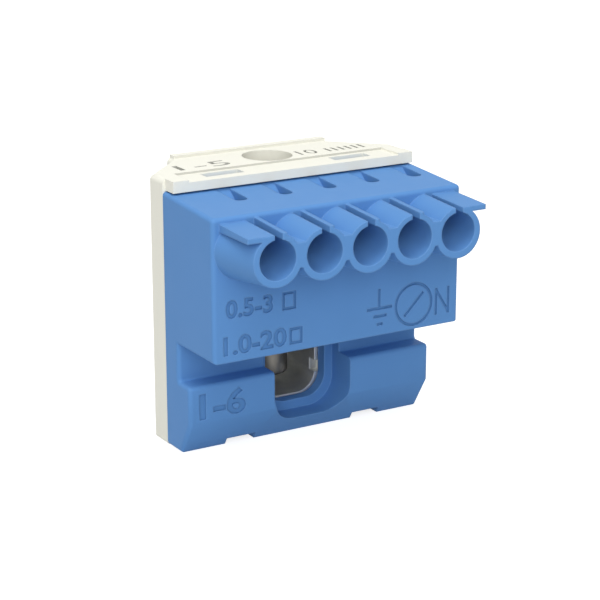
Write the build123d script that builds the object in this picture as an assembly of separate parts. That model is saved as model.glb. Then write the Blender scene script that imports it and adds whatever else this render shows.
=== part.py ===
from build123d import *

import math
import os

# Terminal block with five push-in funnels and one screw clamp, in millimetres.
# X runs along the row of funnels, the wires enter from the front at -Y, and Z is up.
# The origin is the middle of the block's box, on the plane that it stands on.

# Poles
poles = 5
pitch = 7.0
end_margin = 2.05

# Depths, from the funnel mouths to the back
funnel_length = 7.4
block_depth = 10.25
flange_thickness = 3.55
carrier_side_depth = 3.7
taper_depth = 6.8
rim_thickness = 1.3

# Heights above the base
funnel_axis_height = 30.8
block_underside_height = 15.5
bar_top_height = 10.2
chin_height = 4.7

# Cover outside
crown_cover = 4.4
top_slope_rise = 0.9
bar_proud = 3.2
chin_setback = 0.3
edge_round = 0.6
small_round = 0.35
notch_width = 4.6
notch_height = 0.95
notch_offset = 10.3

# Funnels
funnel_bore = 2.7
funnel_wall = 0.82
funnel_sink = 0.15
root_growth = 0.5
flare_inset = 0.35
web_top = 1.9
web_bottom = 1.47
slit_left = 0.46
slit_right = 0.72
land_width = 0.65
land_height = 3.45
wing_top = 3.3
wing_rise = 0.35
wing_thickness = 0.7
wing_inset = 1.12

# Cover inside
front_wall = 1.6
block_floor = 1.5
ceiling_drop = 1.2
partition = 1.3
partition_foot = 1.2
slot_offset = 2.4
slot_width = 2.1
slot_front = 6.0
slot_length = 5.8
slot_ramp_length = 3.0
slot_round = 0.9

# Clamp opening, in steps from the front to the cage
outer_half_width = 6.2
outer_floor = 2.35
outer_corner = 4.1
entry_half_width = 4.9
entry_floor = 3.7
entry_corner = 3.2
entry_depth = 1.75

# Carrier
wall = 1.6
plate_thickness = 1.6
plate_gap = 0.15
lip_overhang = 2.4
lip_inset = 0.4
recess_half_width = 16.75
recess_reach = 2.1
recess_depth = 0.3
rim_rise = 0.4
taper_width = 6.7
rim_inset = 0.45
plate_round = 0.8
base_round = 0.4
latch_slot_offset = 10.25
latch_slot_width = 5.9
latch_slot_depth = 2.0
latch_slot_setback = 0.35
latch_clearance = 0.22
latch_sink = 0.7

# Screw clamp
screw_setback = 5.9
driver_bore = 3.6
guide_wall = 1.1
head_clearance = 0.3
head_stop_gap = 0.2
cage_gap = 0.2
cage_half_width = 4.42
cage_floor = 3.87
cage_corner = 2.9
cage_sheet = 1.1
cage_ceiling = 17.0
cage_nut = 3.0
cage_notch_bottom = 6.45
cage_notch_height = 1.8
cage_notch_depth = 1.4
cradle_height = 9.0
cradle_wall = 1.1
guide_gap = 0.3
thread_radius = 2.95
thread_clearance = 0.05
driver_edge = 2.25
head_radius = 3.85
head_height = 3.0
head_recess_depth = 2.0
head_slot_width = 1.0
head_cross_width = 3.6
pad_radius = 2.8
pad_bottom = 5.8
pad_height = 3.6
pin_radius = 1.5
pin_clearance = 0.06
pin_length = 2.0
shoulder_gap = 0.1
pad_travel = 7.2

# Current bar and springs
bar_thickness = 1.5
bar_drop = 1.3
bar_front = 4.6
bar_width = 7.8
bar_chamfer = 0.5
bar_end_inset = 1.4
bar_slot_clearance = 0.2
tab_width = 4.5
leg_front = 1.6
leg_width = 7.7
leg_bottom = 9.3
spring_thickness = 0.35
spring_half_width = 2.6
spring_narrow_edge = 0.9
spring_bend = 1.3
spring_front = 3.2
spring_back = 0.6
spring_tip_back = 2.9
spring_tip_gap = 0.1
fit_overlap = 0.5

# Places that follow from the sizes above
half_width = (poles * pitch) / 2 + end_margin
overall_depth = (
    funnel_length + block_depth + flange_thickness + carrier_side_depth + taper_depth + rim_thickness
)
y_mouth = -overall_depth / 2
y_block = y_mouth + funnel_length
y_flange = y_block + block_depth
y_seam = y_flange + flange_thickness
y_side_end = y_seam + carrier_side_depth
y_rim = y_side_end + taper_depth
y_back = y_rim + rim_thickness
y_low_bar = y_flange - bar_proud
y_entry = y_seam - entry_depth
y_screw = y_seam + screw_setback
y_chamber = y_block + front_wall
z_axis = funnel_axis_height
z_top_front = z_axis + crown_cover
z_top_back = z_top_front + top_slope_rise
z_ceiling = z_top_front - ceiling_drop
z_plate = z_top_back + plate_gap
z_plate_top = z_plate + plate_thickness
z_bar_top = z_axis - bar_drop
z_partition_foot = z_bar_top - bar_thickness - partition_foot
z_funnel = z_axis - funnel_sink
z_stop = z_plate_top - driver_edge
shank_top = z_stop - head_stop_gap - pad_travel - head_height
funnel_radius = funnel_bore + funnel_wall
pole_x = [(n - (poles - 1) / 2) * pitch for n in range(poles)]


def block(x0, x1, y0, y1, z0, z1):
    """A box between two corners."""
    return Pos(x0, y0, z0) * Box(x1 - x0, y1 - y0, z1 - z0, align=(Align.MIN,) * 3)


def side_profile(points, x0, x1):
    """A Y-Z outline extruded along X."""
    face = Plane.YZ.offset(x0) * make_face(Polyline(*points, close=True))
    return extrude(face, amount=x1 - x0, dir=(1, 0, 0))


def plan_profile(points, z0, z1):
    """An X-Y outline extruded upwards."""
    face = Plane.XY.offset(z0) * make_face(Polyline(*points, close=True))
    return extrude(face, amount=z1 - z0)


def rod(x, y, radius, z0, z1):
    """An upright cylinder."""
    return Pos(x, y, z0) * Cylinder(radius, z1 - z0, align=(Align.CENTER, Align.CENTER, Align.MIN))


def tunnel(half, floor, corner, ceiling, y0, y1):
    """A passage along Y with a flat roof and two round corners at its floor."""
    height = ceiling - floor
    outline = Pos(0, floor + height / 2) * Rectangle(2 * half, height)
    outline = fillet(outline.vertices().group_by(Axis.Y)[0], corner)
    face = Plane(origin=(0, y0, 0), x_dir=(1, 0, 0), z_dir=(0, -1, 0)) * outline
    return extrude(face, amount=y1 - y0, dir=(0, 1, 0))


def mirrored(shape):
    """The same shape on the other side of the middle plane."""
    return mirror(shape, about=Plane.YZ)


def cover_shell():
    """Front block, flange and lower bar as one outline, with its outer edges rounded."""
    shell = side_profile(
        [
            (y_seam, 0),
            (y_flange - chin_setback, 0),
            (y_low_bar, chin_height),
            (y_low_bar, bar_top_height),
            (y_flange, bar_top_height),
            (y_flange, block_underside_height),
            (y_block, block_underside_height),
            (y_block, z_top_front),
            (y_seam, z_top_back),
        ],
        -half_width,
        half_width,
    )
    across = shell.edges().filter_by(Axis.X)
    shell = fillet(across.sort_by_distance((0, y_flange, bar_top_height))[0], small_round)
    across = shell.edges().filter_by(Axis.X)
    rounded = [
        across.sort_by_distance((0, y_block, z_top_front))[0],
        across.sort_by_distance((0, y_low_bar, bar_top_height))[0],
    ]
    for face in (shell.faces().sort_by(Axis.X)[0], shell.faces().sort_by(Axis.X)[-1]):
        rounded += [edge for edge in face.edges() if edge.center().Y < y_seam - small_round]
    return fillet(rounded, edge_round)


def funnel_body(x, root_shift=0.0):
    """One funnel, a little wider at its root, which may lie further out than its mouth."""
    run = y_block + fit_overlap - y_mouth
    lean = math.atan2(root_shift, run)
    length = run / math.cos(lean)
    growth = root_growth / length
    over = 2 * funnel_radius * math.tan(lean) + small_round
    mouth = Plane(origin=(x, y_mouth, z_funnel), z_dir=(math.sin(lean), math.cos(lean), 0))
    cone = Cone(
        funnel_radius - growth * over,
        funnel_radius + growth * (length + over),
        length + 2 * over,
        align=(Align.CENTER, Align.CENTER, Align.MIN),
    )
    reach = 2 * funnel_radius + root_shift
    span = block(x - reach, x + reach, y_mouth, y_block + fit_overlap, z_funnel - reach, z_funnel + reach)
    return (mouth.offset(-over) * cone) & span


def end_funnel_body():
    """The last funnel on the right, drawn out sideways at its root towards the block's side."""
    x = pole_x[-1]
    root_shift = half_width - flare_inset - (x + funnel_radius + root_growth)
    return funnel_body(x) + funnel_body(x, root_shift)


def rising_bar(x0, x1, z0, z1, rise):
    """A bar from the mouths into the block, with a top that rises on the way."""
    y_end = y_block + fit_overlap
    z_end = z1 + rise * (y_end - y_mouth) / funnel_length
    return side_profile([(y_mouth, z0), (y_mouth, z1), (y_end, z_end), (y_end, z0)], x0, x1)


def wing(x_inner):
    """The flat guide plate on the right of the last slit."""
    top = z_axis + wing_top
    return rising_bar(x_inner, half_width - wing_inset, top - wing_thickness, top, wing_rise)


def wing_cutter(x_inner):
    """The space above a wing, which levels the last funnel's crown."""
    top = z_axis + wing_top
    above = top + funnel_radius
    return side_profile(
        [(y_mouth, top), (y_block, top + wing_rise), (y_block, above), (y_mouth, above)],
        x_inner,
        half_width,
    )


def funnel_row():
    """All funnels, joined by a web, with the flat wings at both ends."""
    row = block(pole_x[0], pole_x[-1], y_mouth, y_block + fit_overlap, z_axis - web_bottom, z_axis + web_top)
    for x in pole_x[1:-1]:
        row += funnel_body(x)
    end = end_funnel_body()
    row += end
    row += mirrored(end)
    right_edge = pole_x[-1] + slit_right
    left_edge = slit_left - pole_x[0]
    row -= wing_cutter(right_edge)
    row -= mirrored(wing_cutter(left_edge))
    row += wing(right_edge)
    row += mirrored(wing(left_edge))
    for x in pole_x[:-1]:
        land_x = x + slit_right
        row += rising_bar(land_x, land_x + land_width, z_axis + web_top, z_axis + land_height, root_growth)
    return row


def funnel_cuts(x):
    """The wire passage of one funnel and the slit along its crown."""
    span = y_chamber - y_mouth
    passage = Pos(x, y_mouth + span / 2, z_axis) * Rot(X=90) * Cylinder(funnel_bore, span + 2 * small_round)
    slit = block(x - slit_left, x + slit_right, y_mouth - small_round, y_block,
                 z_axis + web_top, z_axis + funnel_radius + root_growth)
    return passage + slit


def chamber(x):
    """The space behind one funnel, open to the back and down to the core."""
    reach = (pitch - partition) / 2
    return block(x - reach, x + reach, y_chamber, y_seam, z_partition_foot, z_ceiling)


def core():
    """The one hollow under all the partitions, which keeps the block's walls even."""
    reach = pole_x[-1] + (pitch - partition) / 2
    return block(-reach, reach, y_chamber, y_seam, block_underside_height + block_floor, z_partition_foot)


def release_slot(x):
    """A slot for a flat blade, with a floor that ramps down into the chamber."""
    y0 = y_block + slot_front
    y1 = y0 + slot_length
    centre = x + slot_offset
    plan = Pos(centre, (y0 + y1) / 2) * Rectangle(slot_width, slot_length)
    plan = fillet(plan.vertices().group_by(Axis.Y)[0], slot_round)
    column = extrude(Plane.XY.offset(z_ceiling - small_round) * plan, amount=z_top_back)
    z_end = z_top_front + top_slope_rise * (y1 - y_block) / (y_seam - y_block)
    ramp = side_profile(
        [
            (y0, z_ceiling - small_round),
            (y1 - slot_ramp_length, z_ceiling - small_round),
            (y1, z_end),
            (y1, z_top_back + plate_thickness),
            (y0, z_top_back + plate_thickness),
        ],
        centre - slot_width,
        centre + slot_width,
    )
    return column & ramp


def latch_tongue(x):
    """A tongue at the cover's top rear edge that hooks into the carrier's slot."""
    half = latch_slot_width / 2 - latch_clearance
    y_mid = y_seam + latch_slot_setback
    y0 = y_mid - latch_slot_depth / 2 + latch_clearance
    y1 = y_mid + latch_slot_depth / 2 - latch_clearance
    top = z_plate_top - recess_depth - latch_sink
    return block(x - half, x + half, y0, y1, z_top_back - plate_thickness, top)


def cover():
    """The front moulding with its funnels, release slots and clamp opening."""
    body = cover_shell() + funnel_row()
    for x in pole_x:
        body -= funnel_cuts(x)
        body -= chamber(x)
        body -= release_slot(x)
    body -= core()
    bar_half = half_width - bar_end_inset + bar_slot_clearance
    body -= block(-bar_half, bar_half, y_block + bar_front - bar_slot_clearance, y_seam,
                  z_bar_top - bar_thickness, z_bar_top + bar_slot_clearance)
    body -= tunnel(outer_half_width, outer_floor, outer_corner, block_underside_height,
                   y_low_bar - small_round, y_entry)
    body -= tunnel(entry_half_width, entry_floor, entry_corner, block_underside_height, y_entry, y_seam)
    for side in (-1, 1):
        x = side * notch_offset
        body -= block(x - notch_width / 2, x + notch_width / 2, y_low_bar, y_seam, 0, notch_height)
        body += latch_tongue(side * latch_slot_offset)
    return body


def carrier_shell():
    """The rear housing, open at the front, with the top plate's lip."""
    back_half = half_width - taper_width
    outline = make_face(
        Polyline(
            (-half_width, y_seam),
            (half_width, y_seam),
            (half_width, y_side_end),
            (back_half, y_rim),
            (back_half, y_back),
            (-back_half, y_back),
            (-back_half, y_rim),
            (-half_width, y_side_end),
            close=True,
        )
    )
    shell = extrude(outline, amount=z_plate_top)
    rounded = [
        edge
        for edge in shell.faces().sort_by(Axis.Z)[-1].edges()
        if y_seam + small_round < edge.center().Y < y_back - small_round
    ]
    shell = fillet(rounded, plate_round)
    feet = [
        edge
        for edge in shell.faces().sort_by(Axis.Z)[0].edges()
        if edge.center().Y > y_seam + small_round
    ]
    shell = fillet(feet, base_round)
    inside = offset(outline, -wall, kind=Kind.INTERSECTION)
    inside += Pos(0, y_seam + wall) * Rectangle(2 * (half_width - wall), 2 * wall)
    shell -= extrude(Plane.XY.offset(wall) * inside, amount=z_plate - wall)
    lip_half = half_width - lip_inset
    shell += block(-lip_half, lip_half, y_seam - lip_overhang, y_seam, z_plate, z_plate_top)
    rim_half = back_half - rim_inset
    shell += block(-rim_half, rim_half, y_rim, y_back, z_plate, z_plate_top + rim_rise)
    return shell


def cage_envelope(y0, y1):
    """The cage's outside form."""
    outer_half = cage_half_width + cage_sheet
    return tunnel(outer_half, cage_floor - cage_sheet, cage_corner + cage_sheet,
                  cage_ceiling + cage_nut, y0, y1)


def carrier():
    """The rear moulding with the screw's guide and the cradle of the cage."""
    body = carrier_shell()
    y_inside = y_back - wall
    cradle_half = cage_half_width + cage_sheet + cradle_wall
    body += block(-cradle_half, cradle_half, y_seam + cage_gap, y_inside, wall, cradle_height)
    body -= cage_envelope(y_seam, y_inside)
    guide_bottom = cage_ceiling + cage_nut + guide_gap
    guide_bore = head_radius + head_clearance
    body += rod(0, y_screw, guide_bore + guide_wall, guide_bottom, z_plate)
    body -= rod(0, y_screw, guide_bore, guide_bottom, z_stop)
    body -= rod(0, y_screw, driver_bore, z_stop, z_plate_top)
    recess_floor = z_plate_top - recess_depth
    body -= block(-recess_half_width, recess_half_width, y_seam - lip_overhang, y_seam + recess_reach,
                  recess_floor, z_plate_top)
    for side in (-1, 1):
        slot = Pos(side * latch_slot_offset, y_seam + latch_slot_setback, z_plate)
        body -= slot * Box(latch_slot_width, latch_slot_depth, 2 * plate_thickness)
    return body


def clamp_cage():
    """The folded steel cage around the clamped wire, with its nut and the fold's locking notch."""
    y0 = y_seam + cage_gap
    y1 = y_back - wall - cage_gap
    cage = cage_envelope(y0, y1)
    cage -= tunnel(cage_half_width, cage_floor, cage_corner, cage_ceiling, y0, y1)
    cage -= rod(0, y_screw, thread_radius + thread_clearance, cage_ceiling, cage_ceiling + cage_nut)
    cage -= block(cage_half_width - cage_sheet, cage_half_width + 2 * cage_sheet, y0, y0 + cage_notch_depth,
                  cage_notch_bottom, cage_notch_bottom + cage_notch_height)
    return cage


def clamp_screw():
    """The clamp screw, with a crossed slot in its head and a pin at its lower end."""
    z_shoulder = pad_bottom + pad_height + shoulder_gap
    z_head_top = shank_top + head_height
    screw = rod(0, y_screw, thread_radius, z_shoulder, shank_top)
    screw += rod(0, y_screw, head_radius, shank_top, z_head_top)
    screw += rod(0, y_screw, pin_radius, z_shoulder - pin_length, z_shoulder)
    from_top = (Align.CENTER, Align.CENTER, Align.MAX)
    slot = Box(2 * head_radius, head_slot_width, head_recess_depth, align=from_top)
    cross = Box(head_slot_width, head_cross_width, head_recess_depth, align=from_top)
    screw -= Pos(0, y_screw, z_head_top) * (slot + cross)
    rim = screw.edges().filter_by(GeomType.CIRCLE).sort_by(Axis.Z)[0]
    return chamfer(rim, small_round)


def pressure_pad():
    """The pad that turns freely on the screw's pin and presses on the wire."""
    z_top = pad_bottom + pad_height
    pad = rod(0, y_screw, pad_radius, pad_bottom, z_top)
    pad = chamfer(pad.edges().sort_by(Axis.Z)[0], small_round)
    depth = pin_length - shoulder_gap + pin_clearance
    return pad - rod(0, y_screw, pin_radius + pin_clearance, z_top - depth, z_top)


def current_bar():
    """The bar under all five springs, with a tab and a leg down the cage's side."""
    bar_half = half_width - bar_end_inset
    y0 = y_block + bar_front
    y1 = y0 + bar_width
    z0 = z_bar_top - bar_thickness
    leg_x = cage_half_width + cage_sheet
    y_leg = y_seam + leg_front
    bar = block(-bar_half, bar_half, y0, y1, z0, z_bar_top)
    front_edge = bar.edges().filter_by(Axis.X).group_by(Axis.Z)[-1].sort_by(Axis.Y)[0]
    bar = chamfer(front_edge, bar_chamfer)
    bar += block(leg_x, leg_x + tab_width, y1, y_leg + leg_width, z0, z_bar_top)
    bar += block(leg_x, leg_x + bar_thickness, y_leg, y_leg + leg_width, leg_bottom, z_bar_top)
    return bar


def spring(x):
    """One push-in spring: a narrow upper leg, a round bend and a full-width clamping leg."""
    half = spring_thickness / 2
    z_upper = z_ceiling - half
    y_front = y_chamber + spring_front
    y_end = y_seam - spring_back
    y_tip = y_seam - spring_tip_back
    z_tip = z_bar_top + spring_tip_gap + half
    bend = (y_front, z_upper)
    line = FilletPolyline((y_end, z_upper), bend, (y_tip, z_tip), radius=spring_bend)
    strip = Plane.YZ.offset(x - spring_half_width) * trace(line, spring_thickness)
    leaf = extrude(strip, amount=2 * spring_half_width, dir=(1, 0, 0))
    window = block(x + spring_narrow_edge, x + spring_half_width, y_front + spring_bend, y_seam,
                   z_ceiling - spring_bend, z_ceiling)
    tip_foot = block(x - spring_half_width, x + spring_half_width, y_mouth, y_back,
                     z_bar_top - spring_bend, z_bar_top + spring_tip_gap)
    return leaf - window - tip_foot


def build_nodes():
    """Every separate piece, by its node name."""
    nodes = {
        "front_cover": cover(),
        "rear_carrier": carrier(),
        "current_bar": current_bar(),
        "clamp_cage": clamp_cage(),
        "clamp_screw": clamp_screw(),
        "pressure_pad": pressure_pad(),
    }
    for n, x in enumerate(pole_x, start=1):
        nodes[f"push_in_spring_{n}"] = spring(x)
    return nodes


os.makedirs("parts", exist_ok=True)
for name, shape in build_nodes().items():
    export_step(shape, f"parts/{name}.step")
    print(name, round(shape.volume, 2))
print("box", round(2 * half_width, 2), round(overall_depth, 2), round(z_plate_top + rim_rise, 2))
print("pad travel", pad_travel)
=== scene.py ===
# %% [markdown]
# # Terminal block with five push-in funnels and one screw clamp
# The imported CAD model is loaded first, as a fixed frame. Every length here is in metres, +X runs
# along the row of funnels, the wires come in from -Y, and +Z is up. Each cell then gives one piece
# its finish, from the two plastic mouldings inwards to the metal that carries the current.

import math

import bmesh
import bpy
from mathutils import Matrix, Vector


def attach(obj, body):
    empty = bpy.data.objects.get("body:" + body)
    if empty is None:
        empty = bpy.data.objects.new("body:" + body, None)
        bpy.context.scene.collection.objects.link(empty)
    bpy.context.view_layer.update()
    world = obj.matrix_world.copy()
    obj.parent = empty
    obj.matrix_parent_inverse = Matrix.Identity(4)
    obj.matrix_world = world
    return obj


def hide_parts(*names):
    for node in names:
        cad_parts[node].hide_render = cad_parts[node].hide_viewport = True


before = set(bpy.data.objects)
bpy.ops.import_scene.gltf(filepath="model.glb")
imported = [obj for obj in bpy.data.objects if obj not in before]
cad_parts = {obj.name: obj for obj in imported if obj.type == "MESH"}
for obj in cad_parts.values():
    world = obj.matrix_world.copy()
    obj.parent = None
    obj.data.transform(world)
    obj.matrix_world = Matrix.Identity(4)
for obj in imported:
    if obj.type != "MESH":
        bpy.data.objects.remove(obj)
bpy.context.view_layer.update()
MM = 0.001

# %% [markdown]
# ## Camera
# The photograph was taken from the left and a little above. The camera's place and its lens were
# worked out from the row of funnels, whose mouths lie in one plane and at even distances, so a
# plain perspective camera with no shift and no depth of field gives the same picture.

# %% Camera
AZIMUTH, ELEVATION = math.radians(30.87), math.radians(16.58)
camera_data = bpy.data.cameras.new("camera")
camera_data.sensor_width = 36.0
camera_data.lens = 112.356
camera_data.clip_start, camera_data.clip_end = 0.01, 20.0
camera = bpy.data.objects.new("camera", camera_data)
camera.location = (-0.129193, -0.214597, 0.093781)
camera.rotation_euler = (math.pi / 2 - ELEVATION, 0.0, -AZIMUTH)
bpy.context.scene.collection.objects.link(camera)
bpy.context.scene.camera = camera
print("camera", round(camera.location.length / MM), "mm from the origin")

# %% [markdown]
# ## Helpers for colour and nodes
# A colour is easiest to read as it looks on a screen, as an sRGB hex value, but shaders work with
# linear light. One function turns the one into the other, and one adds a shader or geometry node.


# %% Colour and node helpers
def colour(hex_value):
    """A linear RGBA colour from an sRGB hex value."""
    channels = [int(hex_value[i:i + 2], 16) / 255 for i in (0, 2, 4)]
    linear = [c / 12.92 if c <= 0.04045 else ((c + 0.055) / 1.055) ** 2.4 for c in channels]
    return (*linear, 1.0)


def add(tree, kind, inputs=(), **settings):
    """A node with its settings. Each input is a value, or a socket that it is linked from."""
    made = tree.nodes.new(kind)
    for field, value in settings.items():
        setattr(made, field, value)
    for name, value in dict(inputs).items():
        if isinstance(value, bpy.types.NodeSocket):
            tree.links.new(value, made.inputs[name])
        else:
            made.inputs[name].default_value = value
    return made


def new_material(name):
    """An empty material with its output, its Principled shader and Object coordinates."""
    material = bpy.data.materials.new(name)
    material.use_nodes = True
    tree = material.node_tree
    tree.nodes.clear()
    shader = add(tree, "ShaderNodeBsdfPrincipled")
    add(tree, "ShaderNodeOutputMaterial", {"Surface": shader.outputs["BSDF"]})
    place = add(tree, "ShaderNodeTexCoord").outputs["Object"]
    return material, tree, shader, place


def per_mm(size):
    """A noise scale whose grains are about this many millimetres across."""
    return 1 / (size * MM)


# %% [markdown]
# ## Moulded polyamide
# Both housings are polyamide, moulded in a spark-eroded tool. That leaves a matte skin of fine
# grains, about a tenth of a millimetre wide. They are drawn a little coarser here, so that they
# show at all. Pigment and flow make the colour drift by a few percent over some millimetres. No
# moulded edge is truly sharp: a Bevel node rounds the light on it, and where its normal departs
# from the face's own, a painted highlight makes the skin a little lighter. The sunk marks carry an
# attribute of their own, and through it they get painted shade, a darker tone. The specular level
# starts from the plastic's usual half and is brought down to the photograph, where the skin hardly
# mirrors the white ground.


# %% Polyamide for the two mouldings
POLYAMIDE_IOR, SKIN_SPECULAR = 1.53, 0.07


def polyamide(name, body_hex, drift_hex, edge_highlight_hex, groove_shade_hex, roughness, edge_mm):
    """Matte moulded polyamide: roughness about 0.45, with its grain, soft edges with a painted highlight,
    and painted shade in the marks.
    """
    material, tree, shader, place = new_material(name)
    drift = add(tree, "ShaderNodeTexNoise", {"Vector": place, "Scale": per_mm(9), "Detail": 3.0})
    body = add(tree, "ShaderNodeMix", {"Factor": drift.outputs["Fac"]}, data_type="RGBA")
    body.inputs["A"].default_value, body.inputs["B"].default_value = colour(body_hex), colour(drift_hex)

    geometry = add(tree, "ShaderNodeNewGeometry")
    edge = add(tree, "ShaderNodeBevel", {"Radius": edge_mm * MM}, samples=6)
    along = add(tree, "ShaderNodeVectorMath", operation="DOT_PRODUCT")
    tree.links.new(edge.outputs["Normal"], along.inputs[0])
    tree.links.new(geometry.outputs["Normal"], along.inputs[1])
    # Painted highlight: where the Bevel normal departs from the face's own, the colour is mixed towards a
    # lighter tone.
    edge_highlight = add(tree, "ShaderNodeMapRange", {"Value": along.outputs["Value"], "From Min": 0.99,
                                              "From Max": 0.78, "To Min": 0.0, "To Max": 0.35})
    skin = add(tree, "ShaderNodeMix", {"Factor": edge_highlight.outputs["Result"]}, data_type="RGBA")
    tree.links.new(body.outputs["Result"], skin.inputs["A"])
    skin.inputs["B"].default_value = colour(edge_highlight_hex)

    # Painted shade: faces with a sunk value are mixed towards a darker tone, for the shade in the marks and
    # on the low steps.
    sunk = add(tree, "ShaderNodeAttribute", attribute_name="sunk")
    groove_shade = add(tree, "ShaderNodeMix", {"Factor": sunk.outputs["Fac"]}, data_type="RGBA")
    tree.links.new(skin.outputs["Result"], groove_shade.inputs["A"])
    groove_shade.inputs["B"].default_value = colour(groove_shade_hex)

    grain = add(tree, "ShaderNodeTexNoise", {"Vector": place, "Scale": per_mm(0.16), "Detail": 2.0})
    relief = add(tree, "ShaderNodeBump", {"Height": grain.outputs["Fac"], "Strength": 0.35,
                                          "Distance": 0.012 * MM, "Normal": edge.outputs["Normal"]})
    gloss = add(tree, "ShaderNodeTexNoise", {"Vector": place, "Scale": per_mm(3.5), "Detail": 4.0})
    gloss_range = add(tree, "ShaderNodeMapRange", {"Value": gloss.outputs["Fac"],
                                                   "To Min": roughness - 0.06, "To Max": roughness + 0.08})
    tree.links.new(groove_shade.outputs["Result"], shader.inputs["Base Color"])
    tree.links.new(gloss_range.outputs["Result"], shader.inputs["Roughness"])
    tree.links.new(relief.outputs["Normal"], shader.inputs["Normal"])
    shader.inputs["IOR"].default_value = POLYAMIDE_IOR
    shader.inputs["Specular IOR Level"].default_value = SKIN_SPECULAR
    return material


# For each plastic, the lighter edge colour is a painted highlight, and the darker colour of the marks is
# painted shade.
blue_polyamide = polyamide("blue_moulded_polyamide", body_hex="5A8BC4", drift_hex="5E8FC9",
                           edge_highlight_hex="86B2EA", groove_shade_hex="5686BE", roughness=0.46, edge_mm=0.32)
white_polyamide = polyamide("white_moulded_polyamide", body_hex="EEEDE2", drift_hex="ECEBDF",
                            edge_highlight_hex="F6F6F0", groove_shade_hex="BDBDB6", roughness=0.44, edge_mm=0.1)
print("plastics", blue_polyamide.name, white_polyamide.name)

# %% [markdown]
# ## Plated and rolled metal
# Zinc and tin go on over stamped or turned metal. They leave a satin skin, with faint cloudy
# patches and the fine lines of rolling still there. All are full metals at the default IOR, so
# their colour is the colour of what they reflect.


# %% Metal for the clamp, the bar and the springs
def plated(name, metal_hex, cloud_hex, roughness, line_mm, stretch):
    """A satin metal with cloudy plating, and lines that are drawn out along the short axes of stretch."""
    material, tree, shader, place = new_material(name)
    cloud = add(tree, "ShaderNodeTexNoise", {"Vector": place, "Scale": per_mm(1.6), "Detail": 4.0})
    skin = add(tree, "ShaderNodeMix", {"Factor": cloud.outputs["Fac"]}, data_type="RGBA")
    skin.inputs["A"].default_value, skin.inputs["B"].default_value = colour(metal_hex), colour(cloud_hex)
    run = add(tree, "ShaderNodeMapping", {"Vector": place, "Scale": stretch})
    lines = add(tree, "ShaderNodeTexNoise", {"Vector": run.outputs["Vector"], "Scale": per_mm(line_mm),
                                             "Detail": 3.0})
    edge = add(tree, "ShaderNodeBevel", {"Radius": 0.1 * MM}, samples=6)
    relief = add(tree, "ShaderNodeBump", {"Height": lines.outputs["Fac"], "Strength": 0.3,
                                          "Distance": 0.01 * MM, "Normal": edge.outputs["Normal"]})
    satin = add(tree, "ShaderNodeMapRange", {"Value": lines.outputs["Fac"],
                                             "To Min": roughness - 0.08, "To Max": roughness + 0.12})
    tree.links.new(skin.outputs["Result"], shader.inputs["Base Color"])
    tree.links.new(satin.outputs["Result"], shader.inputs["Roughness"])
    tree.links.new(relief.outputs["Normal"], shader.inputs["Normal"])
    shader.inputs["Metallic"].default_value = 1.0
    return material


zinc_cage = plated("zinc_plated_cage_steel", "EAEAE7", "D2D4D6", 0.48, 0.12, (1.0, 0.06, 1.0))
zinc_screw = plated("zinc_plated_screw_steel", "807D76", "6B6964", 0.42, 0.10, (1.0, 1.0, 0.3))
tin_brass = plated("tin_plated_brass", "C9C5BA", "B3AFA4", 0.30, 0.12, (0.05, 1.0, 1.0))
rolled_spring = plated("rolled_spring_steel", "B9BBBE", "A3A6AA", 0.26, 0.08, (1.0, 0.05, 0.05))
print("metals", zinc_cage.name, zinc_screw.name, tin_brass.name, rolled_spring.name)

# %% [markdown]
# ## Working on a merged copy
# A CAD node comes in as loose triangles, and it is never changed. Where a piece needs marks cut
# into it or smooth curved faces, a copy is made, its doubles are merged, and the copy stands for
# the node.


# %% Copies of CAD nodes
def applied(piece):
    """The piece with its modifiers made into a plain mesh."""
    evaluated = piece.evaluated_get(bpy.context.evaluated_depsgraph_get())
    mesh = bpy.data.meshes.new_from_object(evaluated)
    piece.modifiers.clear()
    piece.data = mesh
    return piece


def copy_of(node, name):
    """A merged copy of a CAD node, under its own name."""
    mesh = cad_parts[node].data.copy()
    mesh.name = name
    mesh.materials.clear()
    form = bmesh.new()
    form.from_mesh(mesh)
    bmesh.ops.remove_doubles(form, verts=form.verts, dist=0.0002 * MM)
    form.to_mesh(mesh)
    form.free()
    piece = bpy.data.objects.new(name, mesh)
    bpy.context.scene.collection.objects.link(piece)
    return piece


def bevelled(piece, width):
    """The piece with its hard edges broken by a small real bevel, which only takes material away."""
    form = bmesh.new()
    form.from_mesh(piece.data)
    bmesh.ops.dissolve_limit(form, angle_limit=math.radians(0.5), verts=form.verts, edges=form.edges)
    form.to_mesh(piece.data)
    form.free()
    rounding = piece.modifiers.new("broken edges", "BEVEL")
    rounding.width, rounding.segments = width, 2
    rounding.limit_method, rounding.angle_limit = "ANGLE", math.radians(40)
    return applied(piece)


# %% [markdown]
# ## Normals that keep flat faces flat
# A flat face of the CAD is many triangles, and beside a small fillet their plain averaged normals
# would put streaks on it. So the triangles that lie in one plane are gathered into regions first.
# At a corner the widest region sets the normal, if it is much wider than the others that meet
# there. Otherwise the corner lies on a curved face, and the regions are averaged by their angles.


# %% Shading normals
def flat_regions(form, limit=math.radians(0.5)):
    """For each face, the area of all the connected faces that lie in its plane, and its number."""
    number, areas = [-1] * len(form.faces), []
    for seed in form.faces:
        if number[seed.index] >= 0:
            continue
        number[seed.index] = len(areas)
        queue, area = [seed], 0.0
        while queue:
            face = queue.pop()
            area += face.calc_area()
            for edge in face.edges:
                for other in edge.link_faces:
                    if number[other.index] < 0 and face.normal.angle(other.normal, 4.0) < limit:
                        number[other.index] = len(areas)
                        queue.append(other)
        areas.append(area)
    return number, areas


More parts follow.
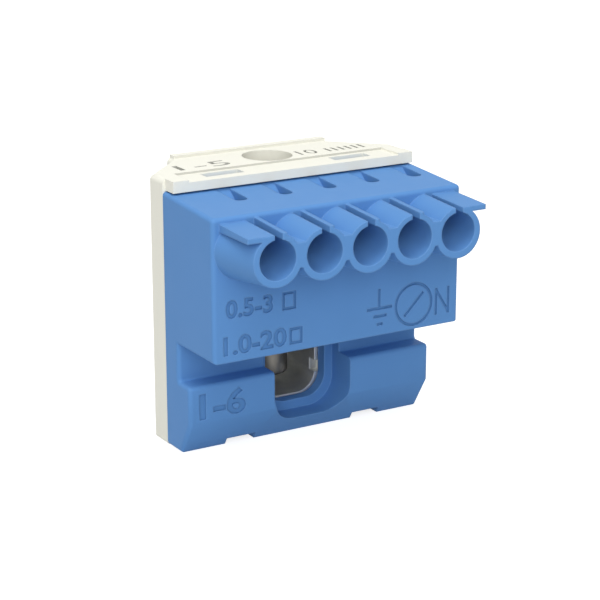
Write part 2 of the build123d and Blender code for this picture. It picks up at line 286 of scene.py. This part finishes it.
def corner_fans(vert, soft):
    """The faces around a corner, in groups that hang together over soft edges."""
    left, fans = set(vert.link_faces), []
    while left:
        queue, fan = [left.pop()], []
        while queue:
            face = queue.pop()
            fan.append(face)
            for edge in face.edges:
                if vert in edge.verts and soft[edge.index]:
                    for other in edge.link_faces:
                        if other in left:
                            left.discard(other)
                            queue.append(other)
        fans.append(fan)
    return fans


def shaded(piece, angle=32.0, ratio=5.0):
    """The piece with smooth curved faces, even flat faces, and hard edges above this angle."""
    form = bmesh.new()
    form.from_mesh(piece.data)
    form.normal_update()
    for items in (form.verts, form.edges, form.faces):
        items.ensure_lookup_table()
        items.index_update()
    number, areas = flat_regions(form)
    soft = [len(edge.link_faces) == 2 and edge.calc_face_angle(4.0) < math.radians(angle)
            for edge in form.edges]
    corner = {}
    for vert in form.verts:
        loop_angle = {loop.face: loop.calc_angle() for loop in vert.link_loops}
        for fan in corner_fans(vert, soft):
            widest = max(fan, key=lambda face: areas[number[face.index]])
            rest = [areas[number[f.index]] for f in fan if number[f.index] != number[widest.index]]
            if not rest or areas[number[widest.index]] > ratio * max(rest):
                normal = widest.normal.copy()
            else:
                normal = sum((face.normal * loop_angle[face] for face in fan), Vector()).normalized()
            for face in fan:
                corner[face.index, vert.index] = normal
    normals = [corner[face.index, loop.vert.index] for face in form.faces for loop in face.loops]
    form.free()
    mesh = piece.data
    mesh.polygons.foreach_set("use_smooth", [True] * len(mesh.polygons))
    mesh.set_sharp_from_angle(angle=math.radians(angle))
    mesh.normals_split_custom_set(normals)
    return piece


def finished(piece, material, slot, body, *nodes):
    """The piece with its finish, riding on its body in place of its CAD nodes."""
    shaded(piece)
    piece.data.materials.clear()
    piece.data.materials.append(material)
    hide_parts(*nodes)
    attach(piece, body)
    print(piece.name, len(piece.data.polygons), "faces")
    return piece


# %% [markdown]
# ## The engraved marks
# On the real mouldings the marks are sunk strokes, about a third of a millimetre wide. On the front
# they are a quarter of a millimetre deep, and on the top plate they are deeper.
# Text is the quickest way to digits: it is made a mesh, fitted into the box that it has on the
# part, and cut out of the moulding with one Boolean. The signs beside them are plain strokes: a
# square for the conductor's section, an earth sign, a ring with a slot for a screw, and the N of a
# neutral. All of them are common signs, and the numbers are plain ones.

# %% Strokes and digits
STROKE, SUNK, DEEP = 0.36 * MM, 0.25 * MM, 0.6 * MM
TEXT_SWELL = 0.028
cutters = {"cover": bmesh.new(), "carrier": bmesh.new()}
FRONT = Matrix.Rotation(math.pi / 2, 4, "X")
TOP = Matrix.Identity(4)


def place_cutter(where, mesh, turn, place):
    """Adds a flat-laid cutter to a moulding's cutters, turned to its face and moved to its place."""
    mesh.transform(Matrix.Translation(place) @ turn)
    cutters[where].from_mesh(mesh)
    bpy.data.meshes.remove(mesh)


def digits(text, width, height, depth, swell):
    """Digits as a closed mesh, centred, of this width and height, half above the face."""
    curve = bpy.data.curves.new("digits", "FONT")
    curve.body, curve.size, curve.extrude, curve.offset = text, 1.0, 0.5, swell
    curve.align_x, curve.align_y, curve.resolution_u = "CENTER", "CENTER", 3
    words = bpy.data.objects.new("digits", curve)
    bpy.context.scene.collection.objects.link(words)
    mesh = bpy.data.meshes.new_from_object(words.evaluated_get(bpy.context.evaluated_depsgraph_get()))
    bpy.data.objects.remove(words)
    form = bmesh.new()
    form.from_mesh(mesh)
    bmesh.ops.remove_doubles(form, verts=form.verts, dist=0.0001)
    low = [min(v.co[i] for v in form.verts) for i in range(2)]
    high = [max(v.co[i] for v in form.verts) for i in range(2)]
    scale = Matrix.Diagonal((width / (high[0] - low[0]), height / (high[1] - low[1]), 2 * depth, 1.0))
    middle = Matrix.Translation((-(high[0] + low[0]) / 2, -(high[1] + low[1]) / 2, 0.0))
    form.transform(scale @ middle)
    form.to_mesh(mesh)
    form.free()
    return mesh


def stroke_path(points, width=STROKE, closed=False):
    """A closed band of even width along points that lie flat, half above the face."""
    form = bmesh.new()
    loops = []
    count = len(points)
    for i, point in enumerate(points):
        here = Vector((*point, 0.0))
        before = Vector((*points[(i - 1) % count], 0.0)) if closed or i else None
        after = Vector((*points[(i + 1) % count], 0.0)) if closed or i < count - 1 else None
        into = (here - before).normalized() if before is not None else (after - here).normalized()
        out = (after - here).normalized() if after is not None else into
        bisector = (into + out).normalized()
        side = Vector((-bisector.y, bisector.x, 0.0))
        reach = width / 2 / max(0.3, side.dot(Vector((-into.y, into.x, 0.0))))
        loops.append([form.verts.new(here + side * reach * s + Vector((0, 0, SUNK * h)))
                      for s, h in ((-1, -1), (1, -1), (1, 1), (-1, 1))])
    pairs = list(zip(loops, loops[1:] + loops[:1])) if closed else list(zip(loops, loops[1:]))
    for one, two in pairs:
        for k in range(4):
            form.faces.new((one[k], one[(k + 1) % 4], two[(k + 1) % 4], two[k]))
    if not closed:
        form.faces.new(loops[0][::-1])
        form.faces.new(loops[-1])
    bmesh.ops.recalc_face_normals(form, faces=form.faces)
    mesh = bpy.data.meshes.new("stroke")
    form.to_mesh(mesh)
    form.free()
    return mesh


def spot(x, y, z):
    """A place given in millimetres."""
    return Vector((x * MM, y * MM, z * MM))


def in_metres(points):
    """The points of a stroke, given in millimetres."""
    return [(across * MM, up * MM) for across, up in points]


# %% [markdown]
# ### Where the marks stand
# The upper front face carries two lines with the conductor sections and, at the right, the signs
# for what the clamp is for. The lower block has a short pair of digits. The digits are plain ones.

# %% Marks on the cover's front faces
Y_FACE, Y_LOW = -9.1, -2.05
for text, x0, x1, z0, z1, y in (
    ("0.5-3", -17.6, -10.5, 21.5, 24.05, Y_FACE),
    ("1.0-20", -18.0, -8.4, 16.45, 19.1, Y_FACE),
    ("1-6", -18.0, -10.8, 5.3, 9.1, Y_LOW),
):
    mesh = digits(text, (x1 - x0) * MM, (z1 - z0) * MM, SUNK, TEXT_SWELL)
    place_cutter("cover", mesh, FRONT, spot((x0 + x1) / 2, y, (z0 + z1) / 2))

for x0, x1, z0, z1 in ((-9.05, -6.95, 21.45, 23.95), (-7.95, -5.95, 16.5, 18.8)):
    half = STROKE / 2 / MM
    left, right, bottom, top = x0 + half, x1 - half, z0 + half, z1 - half
    corners = in_metres([(left, bottom), (right, bottom), (right, top), (left, top)])
    place_cutter("cover", stroke_path(corners, closed=True), FRONT, spot(0, Y_FACE, 0))

signs = [
    [(6.33, 22.15), (6.33, 19.15)],
    [(4.35, 19.37), (8.45, 19.37)],
    [(5.4, 18.25), (7.55, 18.25)],
    [(6.0, 17.1), (6.9, 17.1)],
    [(10.5, 17.55), (13.6, 20.65)],
    [(15.8, 17.0), (15.8, 20.85)],
    [(17.85, 20.85), (17.85, 17.0)],
    [(15.8, 20.6), (17.85, 17.25)],
]
for points in signs:
    place_cutter("cover", stroke_path(in_metres(points)), FRONT, spot(0, Y_FACE, 0))

RING_X, RING_Z, RING_RADIUS, RING_STEPS = 12.05, 19.1, 2.95, 48
ring_angles = [t * math.pi / (RING_STEPS / 2) for t in range(RING_STEPS)]
ring = [(RING_X + RING_RADIUS * math.cos(angle), RING_Z + RING_RADIUS * math.sin(angle))
        for angle in ring_angles]
place_cutter("cover", stroke_path(in_metres(ring), closed=True), FRONT, spot(0, Y_FACE, 0))
print("cover cutters", len(cutters["cover"].faces), "faces")

# %% [markdown]
# ### The marks on the top plate
# Right of the screw's hole a number and a small scale show how much insulation to strip. The
# scale's ticks repeat, so Geometry Nodes set them out: one tick, instanced along a line.


# %% A row of ticks by Geometry Nodes
def inputs_of(tree, sockets):
    """Gives a new node tree its output and its inputs, and returns the inputs' identifiers."""
    tree.interface.new_socket("Geometry", in_out="OUTPUT", socket_type="NodeSocketGeometry")
    return {name: tree.interface.new_socket(name, in_out="INPUT", socket_type=kind).identifier
            for name, kind in sockets}


def tick_row():
    """A node tree that instances one tick along X."""
    tree = bpy.data.node_groups.new("tick_row", "GeometryNodeTree")
    inputs = inputs_of(tree, (("Count", "NodeSocketInt"), ("Gap", "NodeSocketFloat"),
                              ("Tick size", "NodeSocketVector")))
    group = add(tree, "NodeGroupInput")
    step = add(tree, "ShaderNodeCombineXYZ", {"X": group.outputs["Gap"]})
    line = add(tree, "GeometryNodeMeshLine", {"Count": group.outputs["Count"],
                                              "Offset": step.outputs["Vector"]})
    tick = add(tree, "GeometryNodeMeshCube", {"Size": group.outputs["Tick size"]})
    row = add(tree, "GeometryNodeInstanceOnPoints", {"Points": line.outputs["Mesh"],
                                                     "Instance": tick.outputs["Mesh"]})
    real = add(tree, "GeometryNodeRealizeInstances", {"Geometry": row.outputs["Instances"]})
    skin = add(tree, "GeometryNodeSetMaterial", {"Geometry": real.outputs["Geometry"],
                                                 "Material": white_polyamide})
    add(tree, "NodeGroupOutput", {"Geometry": skin.outputs["Geometry"]})
    return tree, inputs


def grown(name, tree, inputs, values):
    """The mesh that a node tree makes with these values for its inputs."""
    holder = bpy.data.objects.new(name, bpy.data.meshes.new(name))
    bpy.context.scene.collection.objects.link(holder)
    modifier = holder.modifiers.new(name, "NODES")
    modifier.node_group = tree
    for label, value in values.items():
        modifier[inputs[label]] = value
    holder.update_tag()
    mesh = bpy.data.meshes.new_from_object(holder.evaluated_get(bpy.context.evaluated_depsgraph_get()))
    bpy.data.objects.remove(holder)
    return mesh


# %% Marks on the carrier's top plate
Z_PLATE = 37.85
TICKS, TICK_GAP, TICK_SIZE = 6, 1.12 * MM, (0.42 * MM, 2.1 * MM, 2 * DEEP)
tick_tree, tick_inputs = tick_row()
ticks = grown("ticks", tick_tree, tick_inputs, {"Count": TICKS, "Gap": TICK_GAP, "Tick size": TICK_SIZE})
place_cutter("carrier", ticks, TOP, spot(9.3, 9.4, Z_PLATE))
for text, x0, x1, y0, y1 in (("10", 4.4, 7.4, 8.3, 10.9), ("1-5", -15.0, -6.9, 8.0, 11.0)):
    mesh = digits(text, (x1 - x0) * MM, (y1 - y0) * MM, DEEP, swell=0.0)
    place_cutter("carrier", mesh, TOP, spot((x0 + x1) / 2, (y0 + y1) / 2, Z_PLATE))
print("carrier cutters", len(cutters["carrier"].faces), "faces")


# %% Cutting the marks
def engraved(piece, where):
    """The piece with its marks cut out, worked at a thousand times the size for a clean Boolean.

    The faces that the cut leaves get 1 in the attribute "sunk", and all others get 0.
    """
    mesh = bpy.data.meshes.new("marks")
    cutters[where].to_mesh(mesh)
    cutters[where].free()
    marks = bpy.data.objects.new("marks", mesh)
    for data, tag in ((piece.data, "outer_face"), (mesh, "sunk_face")):
        data.materials.append(bpy.data.materials.new(tag))
    bpy.context.scene.collection.objects.link(marks)
    grow = Matrix.Scale(1000, 4)
    mesh.transform(grow)
    piece.data.transform(grow)
    cut = piece.modifiers.new("marks", "BOOLEAN")
    cut.operation, cut.solver, cut.object, cut.use_self = "DIFFERENCE", "EXACT", marks, True
    cut.material_mode = "TRANSFER"
    faces_before = len(piece.data.polygons)
    applied(piece)
    piece.data.transform(grow.inverted())
    bpy.data.objects.remove(marks)
    from_marks = [float(polygon.material_index == 1) for polygon in piece.data.polygons]
    piece.data.attributes.new("sunk", "FLOAT", "FACE").data.foreach_set("value", from_marks)
    print(piece.name, faces_before, "faces before the marks,", len(piece.data.polygons), "after,",
          round(sum(from_marks)), "of them sunk")
    return piece


# %% [markdown]
# ## The two mouldings
# The blue front cover and the white rear carrier are one moulding each, so each stays one piece.
# Their form comes from the CAD, and the marks are cut into the copy. Painted shade darkens the low
# steps on the top plate too: the one behind the recess, and more thinly the one in front of the rim.


# %% Front cover and rear carrier
def paint_step_shade(piece, z_low, z_high, share):
    """Gives the forward faces of a low step, between two heights in millimetres, a share of painted shade.

    The front of the lip, which nothing stands before, gets none.
    """
    lip_front = min(vert.co.y for vert in piece.data.vertices)
    step_shade = piece.data.attributes["sunk"].data
    corners = piece.data.vertices
    count = 0
    for face in piece.data.polygons:
        heights = [corners[v].co.z / MM for v in face.vertices]
        within = z_low < min(heights) and max(heights) < z_high
        behind = face.center.y > lip_front + 1.0 * MM
        if face.normal.y < -0.5 and within and behind and not step_shade[face.index].value:
            step_shade[face.index].value = share
            count += 1
    print("dust on", count, "faces from", round(z_low, 2), "to", round(z_high, 2), "mm up")


front_cover = engraved(copy_of("front_cover", "front_cover_moulding"), "cover")
finished(front_cover, blue_polyamide, "blue_plastic", "block", "front_cover")
rear_carrier = engraved(copy_of("rear_carrier", "rear_carrier_moulding"), "carrier")
# Painted shade on the two low steps of the top plate.
paint_step_shade(rear_carrier, Z_PLATE - 0.35, Z_PLATE + 0.02, share=0.85)
paint_step_shade(rear_carrier, Z_PLATE - 0.02, Z_PLATE + 0.45, share=0.4)
finished(rear_carrier, white_polyamide, "white_plastic", "block", "rear_carrier")

# %% [markdown]
# ## The screw clamp
# The cage is folded from thick sheet, so its edges are broken by a small real bevel. The screw is
# turned and its thread rolled. The thread follows a path, so Geometry Nodes sweep a small V along
# a spiral. Its crest stays just inside the plain cylinder that stands for it in the CAD, and its
# foot is sunk a little into the shank, which is drawn in to the thread's root.

# %% Clamp cage
CAGE_BREAK, TURNED_BREAK = 0.16 * MM, 0.12 * MM
cage = bevelled(copy_of("clamp_cage", "clamp_cage_folded"), CAGE_BREAK)
finished(cage, zinc_cage, "plated_steel", "block", "clamp_cage")


# %% Thread by Geometry Nodes
def thread_tree():
    """A node tree that sweeps a V section along a spiral."""
    tree = bpy.data.node_groups.new("screw_thread", "GeometryNodeTree")
    names = ("Turns", "Pitch", "Mean radius", "Depth")
    inputs = inputs_of(tree, [(name, "NodeSocketFloat") for name in names])
    group = add(tree, "NodeGroupInput")
    height = add(tree, "ShaderNodeMath", operation="MULTIPLY")
    tree.links.new(group.outputs["Turns"], height.inputs[0])
    tree.links.new(group.outputs["Pitch"], height.inputs[1])
    spiral = add(tree, "GeometryNodeCurveSpiral", {
        "Resolution": 40, "Rotations": group.outputs["Turns"], "Start Radius": group.outputs["Mean radius"],
        "End Radius": group.outputs["Mean radius"], "Height": height.outputs["Value"]})
    spiral.inputs["Reverse"].default_value = False
    upright = add(tree, "GeometryNodeSetCurveNormal", {"Curve": spiral.outputs["Curve"]}, mode="Z_UP")
    section = add(tree, "GeometryNodeCurvePrimitiveQuadrilateral",
                  {"Bottom Width": 0.9 * MM, "Top Width": 0.14 * MM, "Offset": 0.0,
                   "Height": group.outputs["Depth"]},
                  mode="TRAPEZOID")
    outward = add(tree, "GeometryNodeTransform", {"Geometry": section.outputs["Curve"],
                                                  "Rotation": (0.0, 0.0, math.pi / 2)})
    swept = add(tree, "GeometryNodeCurveToMesh", {
        "Curve": upright.outputs["Curve"], "Profile Curve": outward.outputs["Geometry"], "Fill Caps": True})
    real = add(tree, "GeometryNodeRealizeInstances", {"Geometry": swept.outputs["Mesh"]})
    skin = add(tree, "GeometryNodeSetMaterial", {"Geometry": real.outputs["Geometry"],
                                                 "Material": zinc_screw})
    add(tree, "NodeGroupOutput", {"Geometry": skin.outputs["Geometry"]})
    return tree, inputs


# %% Screw
CREST, ROOT, PITCH = 2.93 * MM, 2.45 * MM, 1.0 * MM
SHANK, SCREW_Y = 2.95 * MM, 10.6 * MM
SUNK_ROOT = 0.06 * MM
RUN_OUT = 0.6 * PITCH
screw = copy_of("clamp_screw", "clamp_screw_turned")
shank = [v for v in screw.data.vertices if abs(math.hypot(v.co.x, v.co.y - SCREW_Y) - SHANK) < 0.02 * MM]
shank_low, shank_high = min(v.co.z for v in shank), max(v.co.z for v in shank)
for v in shank:
    v.co.x *= ROOT / SHANK
    v.co.y = SCREW_Y + (v.co.y - SCREW_Y) * ROOT / SHANK
bevelled(screw, TURNED_BREAK)

turns = (shank_high - shank_low - 2 * RUN_OUT) / PITCH
screw_tree, screw_inputs = thread_tree()
thread = grown("thread", screw_tree, screw_inputs, {"Turns": turns, "Pitch": PITCH,
                                                    "Mean radius": (ROOT + CREST - SUNK_ROOT) / 2,
                                                    "Depth": CREST - ROOT + SUNK_ROOT})
reach = [math.hypot(v.co.x, v.co.y) / MM for v in thread.vertices]
thread.transform(Matrix.Translation((0, SCREW_Y, shank_low + RUN_OUT)))
form = bmesh.new()
form.from_mesh(screw.data)
form.from_mesh(thread)
form.to_mesh(screw.data)
form.free()
print("thread of", round(turns, 1), "turns, radius", round(min(reach), 3), "to", round(max(reach), 3), "mm")
finished(screw, zinc_screw, "screw_steel", "screw", "clamp_screw")

# %% Pressure pad
pad = bevelled(copy_of("pressure_pad", "pressure_pad_turned"), TURNED_BREAK)
finished(pad, zinc_screw, "screw_steel", "pad", "pressure_pad")

# %% [markdown]
# ## Current bar and springs
# The bar carries the current from the clamp to the five springs, so it is brass with a tin skin.
# Each spring is a leaf of bright rolled steel.

# %% Bar and springs
bar = copy_of("current_bar", "current_bar_stamped")
finished(bar, tin_brass, "tinned_brass", "block", "current_bar")
for n in range(1, 6):
    leaf = copy_of(f"push_in_spring_{n}", f"push_in_spring_leaf_{n}")
    finished(leaf, rolled_spring, "spring_steel", "block", f"push_in_spring_{n}")

# %% [markdown]
# ## Floor and light
# The photograph has a white ground and very soft light, most of it from above. A large plain floor
# carries the soft shadow. The world gives an even light, one broad lamp overhead makes the top
# faces lighter than the sides, and a small one beside the camera fills the front. What the camera
# sees, straight or in a mirror or through glass, is the white ground. The light that falls on the
# block stays dimmer.


# %% Floor
def shown_ray(tree):
    """1 for a ray that shows the ground: from the camera, off a glossy face or through a clear one."""
    rays = add(tree, "ShaderNodeLightPath").outputs
    glossy = add(tree, "ShaderNodeMath", operation="MAXIMUM")
    tree.links.new(rays["Is Camera Ray"], glossy.inputs[0])
    tree.links.new(rays["Is Glossy Ray"], glossy.inputs[1])
    clear = add(tree, "ShaderNodeMath", operation="MAXIMUM")
    tree.links.new(glossy.outputs["Value"], clear.inputs[0])
    tree.links.new(rays["Is Transmission Ray"], clear.inputs[1])
    return clear.outputs["Value"]


FLOOR_HALF = 3.0
floor_corners = [(x * FLOOR_HALF, y * FLOOR_HALF, 0) for x, y in ((-1, -1), (1, -1), (1, 1), (-1, 1))]
floor_mesh = bpy.data.meshes.new("floor")
floor_mesh.from_pydata(floor_corners, [], [(0, 1, 2, 3)])
floor = bpy.data.objects.new("floor", floor_mesh)
bpy.context.scene.collection.objects.link(floor)
paper = bpy.data.materials.new("white_paper_ground")
paper.use_nodes = True
paper_tree = paper.node_tree
paper_tree.nodes.clear()
matte = add(paper_tree, "ShaderNodeBsdfDiffuse", {"Color": (0.62, 0.62, 0.62, 1.0)})
shaded_paper = add(paper_tree, "ShaderNodeBsdfDiffuse", {"Color": (0.5, 0.5, 0.5, 1.0)})
lift = add(paper_tree, "ShaderNodeEmission", {"Color": (1.0, 1.0, 1.0, 1.0), "Strength": 0.8})
both = add(paper_tree, "ShaderNodeAddShader")
paper_tree.links.new(shaded_paper.outputs["BSDF"], both.inputs[0])
paper_tree.links.new(lift.outputs["Emission"], both.inputs[1])
mixed = add(paper_tree, "ShaderNodeMixShader", {"Fac": shown_ray(paper_tree)})
paper_tree.links.new(matte.outputs["BSDF"], mixed.inputs[1])
paper_tree.links.new(both.outputs["Shader"], mixed.inputs[2])
add(paper_tree, "ShaderNodeOutputMaterial", {"Surface": mixed.outputs["Shader"]})
floor_mesh.materials.append(paper)

# %% World
world = bpy.data.worlds.new("soft_studio")
bpy.context.scene.world = world
world.use_nodes = True
sky = world.node_tree
sky.nodes.clear()
plain = add(sky, "ShaderNodeBackground", {"Color": (1.0, 1.0, 1.0, 1.0), "Strength": 0.42})
white = add(sky, "ShaderNodeBackground", {"Color": (1.0, 1.0, 1.0, 1.0), "Strength": 1.0})
choice = add(sky, "ShaderNodeMixShader", {"Fac": shown_ray(sky)})
sky.links.new(plain.outputs["Background"], choice.inputs[1])
sky.links.new(white.outputs["Background"], choice.inputs[2])
add(sky, "ShaderNodeOutputWorld", {"Surface": choice.outputs["Shader"]})


# %% Lamps
LIT_SPOT = Vector((0, 0, 0.02))


def softbox(name, place, size, energy):
    """A square lamp that looks at the middle of the block."""
    data = bpy.data.lights.new(name, "AREA")
    data.shape, data.size, data.energy = "SQUARE", size, energy
    lamp = bpy.data.objects.new(name, data)
    lamp.location = place
    lamp.rotation_euler = (LIT_SPOT - lamp.location).to_track_quat("-Z", "Y").to_euler()
    bpy.context.scene.collection.objects.link(lamp)
    print(name, size, "m wide,", energy, "W")


softbox("overhead_softbox", (-0.10, -0.14, 0.62), size=0.5, energy=2.7)
softbox("fill_beside_the_camera", (-0.24, -0.40, 0.22), size=0.3, energy=1.1)
bpy.context.scene.view_settings.view_transform = "Standard"
